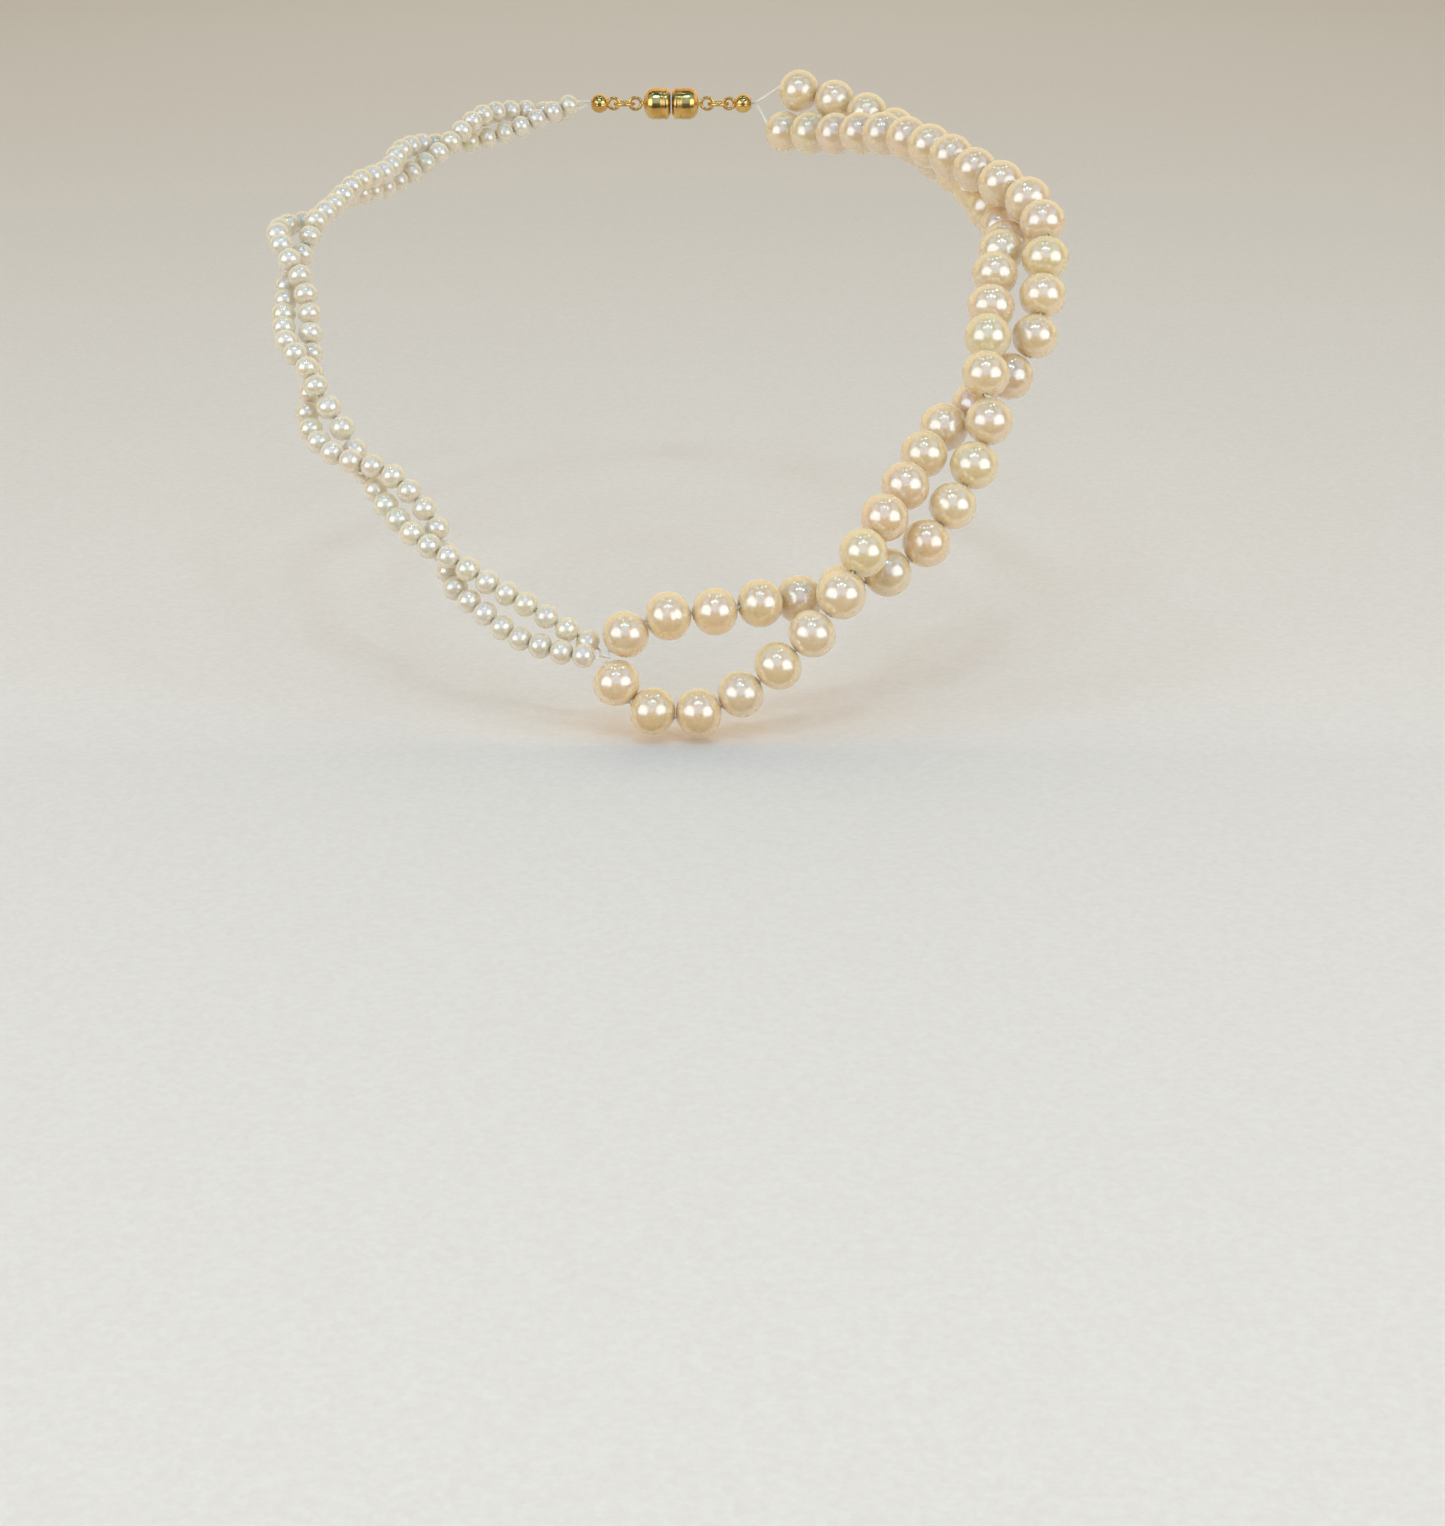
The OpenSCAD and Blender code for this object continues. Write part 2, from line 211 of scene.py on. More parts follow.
# Pearls that stand out: node, place in the run, warmth, pinkness, lightness, marks
# warmth and pinkness run from -1 to 1; -1 of pinkness is greenish silver
SPECIAL = {
    ("large_loop_upper_pearls", 1): (0.1, 0.1, 0.0, [("rings", (0.12, -0.97, 0.2), 0.05, 0.016)]),
    ("large_loop_upper_pearls", 2): (0.25, 0.3, 0.0, []),
    ("large_loop_lower_pearls", 1): (0.75, 0.35, 0.0, []),
    ("large_loop_lower_pearls", 2): (0.35, 0.4, 0.01, []),
    ("large_loop_lower_pearls", 4): (0.1, -0.15, 0.0, [("scratch", (0.05, -0.88, -0.2), 0.02, 0.006)]),
    ("large_pearls_a1", 1): (0.2, -1.0, 0.02, []),
    ("large_pearls_a1", 2): (0.55, 1.0, 0.0, [("dimple", (0.1, -0.9, -0.4), 0.13, 0.024)]),
    ("large_pearls_b1", 2): (0.75, 0.85, 0.0, []),
    ("large_pearls_b2", 0): (0.35, -0.75, 0.0, []),
    ("large_pearls_b2", 3): (0.3, -1.05, 0.0, []),
    ("large_pearls_a3", 2): (0.45, -0.95, 0.0, []),
    ("large_pearls_a3", 0): (0.15, 0.1, 0.0, [("dimple", (0.75, -0.65, 0.1), 0.16, 0.018)]),
    ("small_pearls_a2", 5): (0.3, 0.9, 0.0, []),
    ("small_pearls_a2", 4): (0.25, 0.75, 0.0, []),
}


def profile(r, f, bore, k, nv):
    """Half outline of a drilled button pearl, [distance from the axis, height], from one mouth to the other."""
    lip = [
        (bore, r - 0.34 * k),
        (bore + 0.004 * k, r - 0.2 * k),
        (bore + 0.03 * k, r - 0.1 * k),
        (bore + 0.08 * k, r - 0.045 * k),
    ]
    start = bore + 0.17 * k
    t0 = math.asin(max(0.0, min(1.0, (start - f) / r))) if start > f else 0.0
    arc = []
    if start <= f:
        arc.append((start, r - 0.012 * k))
        t0 = 0.0
    # closer rings near the poles, where the curve is seen against the thread
    for s in np.linspace(0, 1, nv):
        t = t0 + (math.pi - 2 * t0) * (s - 0.035 * math.sin(2 * math.pi * s * 1.0) / math.pi)
        arc.append((f + r * math.sin(t), r * math.cos(t)))
    if start <= f:
        arc.append((start, -(r - 0.012 * k)))
    tail = [(q, -h) for q, h in reversed(lip)]
    return np.array(lip + arc + tail)


def lumps(n, rng, count=7, low_k=1.2, high_k=4.2):
    """A smooth random field from 0 to 1 over directions n."""
    total, weight = np.zeros(len(n)), 0.0
    for _ in range(count):
        k = rng.normal(size=3)
        k *= rng.uniform(low_k, high_k) / np.linalg.norm(k)
        w = 1.0 / np.linalg.norm(k)
        total += w * np.cos(n @ k + rng.uniform(0, 2 * math.pi))
        weight += w
    return 0.5 + 0.5 * total / weight


def pearl(c, axis, length, width, bore, rng, large, marks=()):
    """Vertices, faces and local coordinates (mm) of one pearl. Only the loop's stand outside their CAD solids, by 0.1 mm at each end."""
    nu, nv = (64, 38) if large else (44, 24)
    k = 1.0 if large else 0.55
    r, f = length / 2, max(0.0, (width - length) / 2)
    prof = profile(r, f, bore, k, nv)
    spin = rng.uniform(0, 2 * math.pi)
    phi = np.linspace(0, 2 * math.pi, nu, endpoint=False)
    q, z = prof[:, 0], prof[:, 1]
    L = np.stack([q[:, None] * np.cos(phi), q[:, None] * np.sin(phi), np.repeat(z[:, None], nu, 1)], -1).reshape(-1, 3)
    R = np.linalg.norm(L, axis=1)
    n = L / R[:, None]
    rho = np.linalg.norm(L[:, :2], axis=1)
    edge = np.clip((rho - bore - 0.12 * k) / (0.9 * k), 0, 1)
    edge = edge * edge * (3 - 2 * edge)
    pull = (0.012 if large else 0.016) * lumps(n, rng) + 0.005 * lumps(n, rng, 9, 5, 10)
    # one end a little narrower than the other, and the girth a little oval
    e, o, o0 = rng.uniform(-0.022, 0.022), rng.uniform(0, 0.014), rng.uniform(0, math.pi)
    pull += abs(e) * (0.5 + 0.5 * np.sign(e) * n[:, 2]) ** 1.5 + o * np.cos(np.arctan2(n[:, 1], n[:, 0]) - o0) ** 2
    # faint growth rings on some
    if rng.random() < 0.22:
        z0, w = rng.uniform(-0.45, 0.45), rng.uniform(0.035, 0.07)
        for d in (0, 2.6 * w):
            pull += 0.005 * np.exp(-(((n[:, 2] - z0 - d) / w) ** 2)) * (0.55 + 0.45 * np.cos(np.arctan2(n[:, 1], n[:, 0]) + spin))
    # a shallow dimple or two
    for _ in range(rng.integers(0, 3)):
        d = rng.normal(size=3)
        d /= np.linalg.norm(d)
        pull += rng.uniform(0.004, 0.011) * np.exp(-((np.arccos(np.clip(n @ d, -1, 1)) / rng.uniform(0.08, 0.18)) ** 2))
    u, v, a = basis(axis)
    F = np.stack([u, v, a])  # rows: local axes in the row frame
    for kind, where, size, depth in marks:
        d = F @ (np.asarray(where, float) / np.linalg.norm(where))
        ang = np.arccos(np.clip(n @ d, -1, 1))
        if kind == "dimple":
            pull += depth * np.exp(-((ang / size) ** 2))
        elif kind == "rings":
            near = np.exp(-((ang / 0.75) ** 4))
            for off in (-0.16, 0.14):
                pull += depth * near * np.exp(-(((n[:, 2] - d[2] - off) / size) ** 2))
        elif kind == "scratch":
            t = np.cross(d, (0.3, 0.5, 0.8))
            t /= np.linalg.norm(t)
            pull += depth * np.exp(-(((n @ t) / size) ** 2)) * np.exp(-((ang / 0.38) ** 4))
    L = L * (1 - (pull * edge))[:, None]
    world = c + L @ F
    faces = grid_faces(len(prof), nu, True)
    return world, faces[:, ::-1], L


def pearl_object(node, run, large, rng, material):
    bore = 0.45 if large else 0.35
    V, Fs, LP, TI, k = [], [], [], [], 0
    base = BODY_LARGE if large else BODY_SMALL
    for i, (c, a, length, width) in enumerate(run):
        warm, pink, light, marks = SPECIAL.get((node, i), (None, None, None, ()))
        rw, rp, rl = rng.normal(0, 0.35), rng.normal(0, 0.35 if large else 0.2), rng.normal(0, 0.02)
        warm = rw if warm is None else warm
        pink = rp if pink is None else pink
        light = 1 + (rl if light is None else light)
        # the loop's pearls all but touch
        v, f, l = pearl(c, a, length + (0.2 if "loop" in node else 0.0), width, bore, rng, large, marks)
        tint = to_hsv_shift(base, float(np.clip(warm, -1.2, 1.2)), float(np.clip(pink, -1.2, 1.2)), light)
        V.append(v)
        Fs.append(f + k)
        k += len(v)
        LP.append(l + rng.uniform(-400, 400, 3))
        TI.append(np.tile([*tint, 1.0], (len(v), 1)))
    ob = new_mesh(
        "p_" + node, np.concatenate(V) * MM, np.concatenate(Fs),
        {"lp": ("FLOAT_VECTOR", np.concatenate(LP)), "tint": ("FLOAT_COLOR", np.concatenate(TI))}, material,
    )
    return ob


# ---------------------------------------------------------------- materials
def material(name):
    m = bpy.data.materials.new(name)
    m.use_nodes = True
    nt = m.node_tree
    b = nt.nodes["Principled BSDF"]
    return m, nt, b


def node(nt, kind, **inputs):
    n = nt.nodes.new(kind)
    for key, value in inputs.items():
        if key.startswith("_"):
            setattr(n, key[1:], value)
        else:
            n.inputs[key.replace("__", " ")].default_value = value
    return n


def ramp(nt, stops):
    n = nt.nodes.new("ShaderNodeValToRGB")
    cr = n.color_ramp
    while len(cr.elements) > 1:
        cr.elements.remove(cr.elements[-1])
    cr.elements[0].position = stops[0][0]
    cr.elements[0].color = (*stops[0][1], 1) if isinstance(stops[0][1], tuple) else (stops[0][1],) * 3 + (1,)
    for p, c in stops[1:]:
        e = cr.elements.new(p)
        e.color = (*c, 1) if isinstance(c, tuple) else (c, c, c, 1)
    return n


def mix_colour(nt, kind, fac, a, b):
    """Mix two colours; a and b are sockets or colours, fac a socket or number."""
    n = nt.nodes.new("ShaderNodeMix")
    n.data_type = "RGBA"
    n.blend_type = kind
    for sock, value in ((n.inputs[0], fac), (n.inputs[6], a), (n.inputs[7], b)):
        if isinstance(value, bpy.types.NodeSocket):
            nt.links.new(value, sock)
        elif isinstance(value, tuple):
            sock.default_value = (*value, 1)
        else:
            sock.default_value = value
    return n.outputs[2]


def nacre(name, large):
    m, nt, b = material(name)
    lp = node(nt, "ShaderNodeAttribute", _attribute_name="lp", _attribute_type="GEOMETRY")
    tint = node(nt, "ShaderNodeAttribute", _attribute_name="tint", _attribute_type="GEOMETRY")
    P = lp.outputs["Vector"]
    s = 1.0 if large else 1.7

    def noise(scale, detail=3.0, rough=0.55, distortion=0.0):
        n = node(nt, "ShaderNodeTexNoise", Scale=scale * s, Detail=detail, Roughness=rough, Distortion=distortion)
        nt.links.new(P, n.inputs["Vector"])
        return n.outputs["Fac"]

    # broad clouds of cream and rose in the nacre, then a finer mottle
    cloud = ramp(nt, [(0.32, (0.975, 0.985, 1.0)), (0.5, (1.0, 1.0, 1.0)), (0.68, (1.0, 0.978, 0.945))])
    nt.links.new(noise(0.22, 2.0), cloud.inputs["Fac"])
    c1 = mix_colour(nt, "MULTIPLY", 0.6 if large else 0.4, tint.outputs["Color"], cloud.outputs["Color"])
    mott = ramp(nt, [(0.35, (0.982, 0.98, 0.975)), (0.62, (1.0, 1.0, 1.0))])
    nt.links.new(noise(1.4, 4.0, 0.6, 0.4), mott.inputs["Fac"])
    c2 = mix_colour(nt, "MULTIPLY", 1.0, c1, mott.outputs["Color"])
    # tiny darker growth specks, few and faint
    vor = node(nt, "ShaderNodeTexVoronoi", Scale=0.55 * s, Randomness=1.0)
    nt.links.new(P, vor.inputs["Vector"])
    speck = ramp(nt, [(0.0, (0.86, 0.82, 0.74)), (0.055, (0.97, 0.96, 0.93)), (0.09, (1.0, 1.0, 1.0))])
    nt.links.new(vor.outputs["Distance"], speck.inputs["Fac"])
    c3 = mix_colour(nt, "MULTIPLY", 0.16, c2, speck.outputs["Color"])
    nt.links.new(c3, b.inputs["Base Color"])
    # lustre: slightly uneven gloss
    rough = node(nt, "ShaderNodeMapRange")
    rough.inputs["From Min"].default_value, rough.inputs["From Max"].default_value = 0.3, 0.7
    rough.inputs["To Min"].default_value, rough.inputs["To Max"].default_value = 0.24, 0.33
    nt.links.new(noise(0.6, 3.0), rough.inputs["Value"])
    nt.links.new(rough.outputs["Result"], b.inputs["Roughness"])
    b.inputs["Metallic"].default_value = 0.0
    b.inputs["IOR"].default_value = 2.6
    b.inputs["Specular Tint"].default_value = (0.5, 0.78, 1.0, 1)
    b.inputs["Specular IOR Level"].default_value = 0.5
    b.inputs["Subsurface Weight"].default_value = 0.5
    b.inputs["Subsurface Radius"].default_value = (1.0, 0.72, 0.42)
    b.inputs["Subsurface Scale"].default_value = 0.0016 if large else 0.0009
    b.inputs["Coat Weight"].default_value = 1.0
    b.inputs["Coat Roughness"].default_value = 0.15 if large else 0.11
    b.inputs["Coat IOR"].default_value = 2.0
    b.inputs["Sheen Weight"].default_value = 0.42
    b.inputs["Sheen Roughness"].default_value = 0.3
    b.inputs["Sheen Tint"].default_value = (1.0, 0.88, 0.62, 1)
    b.inputs["Thin Film Thickness"].default_value = 0.0
    b.inputs["Thin Film IOR"].default_value = 1.4
    # skin: very gentle waves, fine orange peel, and tiny shallow pits at the specks
    wave = node(nt, "ShaderNodeBump", Strength=0.5, Distance=0.000009 if large else 0.000004)
    nt.links.new(noise(0.9, 2.0, 0.5), wave.inputs["Height"])
    peel = node(nt, "ShaderNodeBump", Strength=0.08, Distance=0.00001)
    nt.links.new(noise(3.6, 3.0, 0.5), peel.inputs["Height"])
    nt.links.new(wave.outputs["Normal"], peel.inputs["Normal"])
    pit = node(nt, "ShaderNodeBump", Strength=0.05, Distance=0.00003)
    pits = ramp(nt, [(0.0, 0.0), (0.06, 0.8), (0.1, 1.0)])
    nt.links.new(vor.outputs["Distance"], pits.inputs["Fac"])
    nt.links.new(pits.outputs["Color"], pit.inputs["Height"])
    nt.links.new(peel.outputs["Normal"], pit.inputs["Normal"])
    nt.links.new(pit.outputs["Normal"], b.inputs["Normal"])
    nt.links.new(peel.outputs["Normal"], b.inputs["Coat Normal"])
    return m


def metal(name, colour, rough_low, rough_high, dark):
    m, nt, b = material(name)
    tc = nt.nodes.new("ShaderNodeTexCoord")
    mp = node(nt, "ShaderNodeMapping")
    mp.inputs["Scale"].default_value = (300, 2600, 2600)
    nt.links.new(tc.outputs["Object"], mp.inputs["Vector"])
    streak = node(nt, "ShaderNodeTexNoise", Scale=1.0, Detail=4.0, Roughness=0.65)
    nt.links.new(mp.outputs["Vector"], streak.inputs["Vector"])
    stain = node(nt, "ShaderNodeTexNoise", Scale=420.0, Detail=3.0, Roughness=0.5)
    nt.links.new(tc.outputs["Object"], stain.inputs["Vector"])
    tone = ramp(nt, [(0.35, dark), (0.6, colour)])
    nt.links.new(stain.outputs["Fac"], tone.inputs["Fac"])
    nt.links.new(tone.outputs["Color"], b.inputs["Base Color"])
    rr = node(nt, "ShaderNodeMapRange")
    rr.inputs["From Min"].default_value, rr.inputs["From Max"].default_value = 0.3, 0.7
    rr.inputs["To Min"].default_value, rr.inputs["To Max"].default_value = rough_low, rough_high
    nt.links.new(streak.outputs["Fac"], rr.inputs["Value"])
    nt.links.new(rr.outputs["Result"], b.inputs["Roughness"])
    b.inputs["Metallic"].default_value = 1.0
    bump = node(nt, "ShaderNodeBump", Strength=0.25, Distance=0.00001)
    nt.links.new(streak.outputs["Fac"], bump.inputs["Height"])
    nt.links.new(bump.outputs["Normal"], b.inputs["Normal"])
    return m


def silk(name):
    m, nt, b = material(name)
    tc = nt.nodes.new("ShaderNodeTexCoord")
    fib = node(nt, "ShaderNodeTexNoise", Scale=9000.0, Detail=3.0, Roughness=0.6)
    nt.links.new(tc.outputs["Object"], fib.inputs["Vector"])
    tone = ramp(nt, [(0.3, srgb(232, 221, 196)), (0.65, srgb(250, 243, 226))])
    nt.links.new(fib.outputs["Fac"], tone.inputs["Fac"])
    nt.links.new(tone.outputs["Color"], b.inputs["Base Color"])
    b.inputs["Roughness"].default_value = 0.55
    b.inputs["Sheen Weight"].default_value = 0.4
    b.inputs["Sheen Roughness"].default_value = 0.4
    b.inputs["Subsurface Weight"].default_value = 0.2
    b.inputs["Subsurface Scale"].default_value = 0.0003
    bump = node(nt, "ShaderNodeBump", Strength=0.5, Distance=0.00003)
    nt.links.new(fib.outputs["Fac"], bump.inputs["Height"])
    nt.links.new(bump.outputs["Normal"], b.inputs["Normal"])
    return m


NACRE_L = nacre("nacre_large", True)
NACRE_S = nacre("nacre_small", False)
GOLD = metal("gold_plate", srgb(233, 196, 120), 0.12, 0.26, srgb(206, 164, 92))
NICKEL = metal("magnet_nickel", srgb(206, 206, 208), 0.16, 0.3, srgb(170, 170, 174))
SILK = silk("silk_thread")

rng = np.random.default_rng(20)
body_of = {n: b for b, ns in frame["record"]["behaviour"]["bodies"].items() for n in ns}
for name, run in runs.items():
    large = name.startswith("large")
    ob = pearl_object(name, run, large, rng, NACRE_L if large else NACRE_S)
    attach(ob, body_of[name])
    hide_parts(name)


# ---------------------------------------------------------------- thread
def spline(points, step):
    """Catmull-Rom curve through points, sampled about every step mm."""
    P = np.asarray(points, float)
    P = np.concatenate([[2 * P[0] - P[1]], P, [2 * P[-1] - P[-2]]])
    out = []
    for i in range(1, len(P) - 2):
        a, b, c, d = P[i - 1 : i + 3]
        n = max(1, int(math.ceil(np.linalg.norm(c - b) / step)))
        for t in np.arange(n) / n:
            out.append(0.5 * (2 * b + (c - a) * t + (2 * a - 5 * b + 4 * c - d) * t * t + (3 * b - a - 3 * c + d) * t**3))
    out.append(P[-2])
    return np.array(out)


def straight(points, step):
    out = []
    for a, b in zip(points[:-1], points[1:]):
        n = max(1, int(math.ceil(np.linalg.norm(np.asarray(b) - a) / step)))
        out += [np.asarray(a) + (np.asarray(b) - a) * t for t in np.arange(n) / n]
    out.append(np.asarray(points[-1]))
    return np.array(out)


def twisted(line, r, pitch=1.5, sides=18, phase=0.0):
    """A three-ply cord of outer radius r swept along a line of points in mm, with flat ends."""
    P = np.asarray(line, float)
    keep = np.r_[True, np.linalg.norm(np.diff(P, axis=0), axis=1) > 1e-4]
    P = P[keep]
    T = np.gradient(P, axis=0)
    T /= np.linalg.norm(T, axis=1)[:, None]
    s = np.r_[0, np.cumsum(np.linalg.norm(np.diff(P, axis=0), axis=1))]
    N = np.empty_like(P)
    n = basis(T[0])[0]
    for i, t in enumerate(T):
        n = n - t * (n @ t)
        n /= np.linalg.norm(n)
        N[i] = n
    B = np.cross(T, N)
    th = np.linspace(0, 2 * math.pi, sides, endpoint=False)
    tw = 2 * math.pi * s / pitch + phase
    lobe = 0.80 + 0.20 * np.abs(np.cos(1.5 * (th[None, :] - tw[:, None]))) ** 0.8
    V = P[:, None, :] + r * lobe[..., None] * (np.cos(th)[None, :, None] * N[:, None, :] + np.sin(th)[None, :, None] * B[:, None, :])
    m = len(P)
    verts = np.concatenate([V.reshape(-1, 3), [P[0] - 0.3 * r * T[0] * 0, P[-1] + 0.3 * r * T[-1] * 0]])
    faces = [list(f) for f in grid_faces(m, sides, False)]
    a, b = m * sides, m * sides + 1
    faces += [[a, (j + 1) % sides, j] for j in range(sides)]
    faces += [[b, (m - 1) * sides + j, (m - 1) * sides + (j + 1) % sides] for j in range(sides)]
    return verts, [f[::-1] for f in faces]


def run_line(run):
    """The thread's line through the two mouths of each pearl of a run."""
    return [c + e * length * a for c, a, length, _ in run for e in (-0.5, 0.5)]


def thread_object(name, parts, body):
    v, f = merge(parts)
    ob = new_mesh("p_" + name, v * MM, f, None, SILK)
    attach(ob, body)
    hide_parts(name)
    return ob


COVER_X, CLASP_Y, CLASP_Z, KNOT_R = 14.8, 43.5, 3.0, 1.25
LT, ST = 0.25, 0.2
LAST = {"large": 5, "small": 6}


def last_part(side, ply, mouth, axis):
    s, k = (1 if side == "large" else -1), (1 if ply == "a" else -1)
    pts = [np.array([s * x, CLASP_Y, CLASP_Z - 0.4 * k]) for x in (COVER_X + 2.9, COVER_X + KNOT_R + 0.02)]
    return spline([mouth - 0.02 * axis, mouth + 0.35 * axis, *pts], 0.12)[1:]


for side, r in (("large", LT), ("small", ST)):
    for i in range(1, LAST[side] + 1):
        parts = []
        for ply in "ab":
            run = runs[f"{side}_pearls_{ply}{i}"]
            line = run_line(run)
            c, a, length, _ = run[0]
            head = [line[0] - 0.08 * a]
            body_line = straight(head + line, 1.2)
            if i < LAST[side]:
                tail = np.array([line[-1] + 0.08 * run[-1][1]])
            else:
                tail = last_part(side, ply, line[-1], run[-1][1])
            parts.append(twisted(np.concatenate([body_line, tail]), r))
        thread_object(f"{side}_threads_{i}", parts, f"{side}_{i}")

# the loop's thread, from ply a's first bend round the fold to ply b's
loop_in, loop_out = run_line(low)[::-1], run_line(up)
mouth_low, mouth_up = loop_in[-1], loop_out[0]
start = loop_in[0] + 0.08 * low[-1][1]
end = loop_out[-1] + 0.08 * up[-1][1]
loop_line = np.concatenate([straight([start] + loop_in, 1.2), straight([mouth_low, mouth_up], 0.1)[1:], straight(loop_out + [end], 1.2)[1:]])
thread_object("large_loop_thread", [twisted(loop_line, LT)], "front_loop")

# the link: the small strand's fold round the loop's bare thread
link_c = (mouth_low + mouth_up) / 2
link_axis = (mouth_up - mouth_low) / np.linalg.norm(mouth_up - mouth_low)
first_a, first_b = runs["small_pearls_a1"][0], runs["small_pearls_b1"][0]
bend_a = first_a[0] - (first_a[2] / 2 + 0.14) * first_a[1]
bend_b = first_b[0] - (first_b[2] / 2 + 0.14) * first_b[1]
w = (bend_a + bend_b) / 2 - link_c
w -= link_axis * (w @ link_axis)
w /= np.linalg.norm(w)
v = np.cross(link_axis, w)
LR = LT + ST + 0.08
link_pts = (
    [bend_a + 0.02 * first_a[1], bend_a - 0.4 * first_a[1], link_c + 1.4 * w + 0.42 * v]
    + [link_c + LR * (-math.cos(math.radians(t)) * w + math.sin(math.radians(t)) * v) for t in range(100, -101, -25)]
    + [link_c + 1.4 * w - 0.42 * v, bend_b - 0.4 * first_b[1], bend_b + 0.02 * first_b[1]]
)
thread_object("small_fold_thread", [twisted(spline(link_pts, 0.08), ST, 1.3)], "small_1")


# ---------------------------------------------------------------- nape fittings
def turned(prof, s, sides=64, closed=True):
    """A turned shape about X from [distance along X, radius]; s is not used. A closed ring of profile points."""
    prof = np.asarray(prof, float)
    th = np.linspace(0, 2 * math.pi, sides, endpoint=False)
    V = np.stack([np.repeat(prof[:, :1], sides, 1), prof[:, 1:] * np.cos(th), prof[:, 1:] * np.sin(th)], -1)
    return V.reshape(-1, 3), grid_faces(len(prof), sides, closed)


def smooth_profile(pts, fillet=0.12, steps=4):
    """Rounds each corner of a closed profile by a small fillet."""
    P = np.asarray(pts, float)
    out = []
    for i in range(len(P)):
        a, b, c = P[i - 1], P[i], P[(i + 1) % len(P)]
        la, lc = np.linalg.norm(a - b), np.linalg.norm(c - b)
        d = min(fillet, 0.4 * la, 0.4 * lc)
        p, q = b + (a - b) / la * d, b + (c - b) / lc * d
        for t in np.linspace(0, 1, steps):
            out.append((1 - t) ** 2 * p + 2 * t * (1 - t) * b + t * t * q)
    return np.array(out)


def ring(centre, R, r, plane, around=72, sides=24, cut=None):
    """A wire ring. plane is xy or xz. cut is (angle, gap in mm) for a ring that was opened and closed again."""
    a0, a1 = (0.0, 2 * math.pi) if cut is None else (cut[0] + cut[1] / R / 2, cut[0] + 2 * math.pi - cut[1] / R / 2)
    ang = np.linspace(a0, a1, around, endpoint=cut is not None)
    th = np.linspace(0, 2 * math.pi, sides, endpoint=False)
    A, H = np.meshgrid(ang, th, indexing="ij")
    q, h = R + r * np.cos(H), r * np.sin(H)
    x, y = q * np.cos(A), q * np.sin(A)
    V = np.stack([x, y, h], -1) if plane == "xy" else np.stack([x, -h, y], -1)
    V = V.reshape(-1, 3) + np.asarray(centre, float)
    faces = [list(f) for f in grid_faces(around, sides, cut is None)]
    if cut is not None:
        faces += [list(range(sides)), [(around - 1) * sides + j for j in range(sides - 1, -1, -1)]]
    return V, faces


def outward_faces(v, f):
    """Flips faces if the shape is inside out."""
    vol = 0.0
    for q in f:
        for i in range(1, len(q) - 1):
            vol += np.dot(v[q[0]], np.cross(v[q[i]], v[q[i + 1]]))
    return [list(q)[::-1] for q in f] if vol < 0 else [list(q) for q in f]


def fitting(name, parts, s, body, mat):
    done = []
    for v, f in parts:
        v = np.asarray(v, float).copy()
        v[:, 0] *= s
        v += [0, CLASP_Y, CLASP_Z]
        centred = v - v.mean(0)
        done.append((v, outward_faces(centred, f)))
    v, f = merge(done)
    ob = new_mesh("p_" + name, v * MM, f, None, mat)
    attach(ob, body)
    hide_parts(name)
    return ob


def cover_profile():
    o, i = 1.9, 1.56
    rim = math.asin(0.97 / o)
    outer = [(COVER_X + o * math.cos(t), o * math.sin(t)) for t in np.linspace(math.pi - 0.02, rim + 0.1, 30)]
    lip_x = COVER_X + o * math.cos(rim) - 0.02
    lip = [(lip_x + 0.04, 1.09), (lip_x + 0.03, 1.01), (lip_x - 0.06, 0.965), (lip_x - 0.2, 0.97)]
    rin = math.asin(1.0 / i)
    inner = [(COVER_X + i * math.cos(t), i * math.sin(t)) for t in np.linspace(rin, math.pi - 0.02, 22)]
    return outer + lip + inner


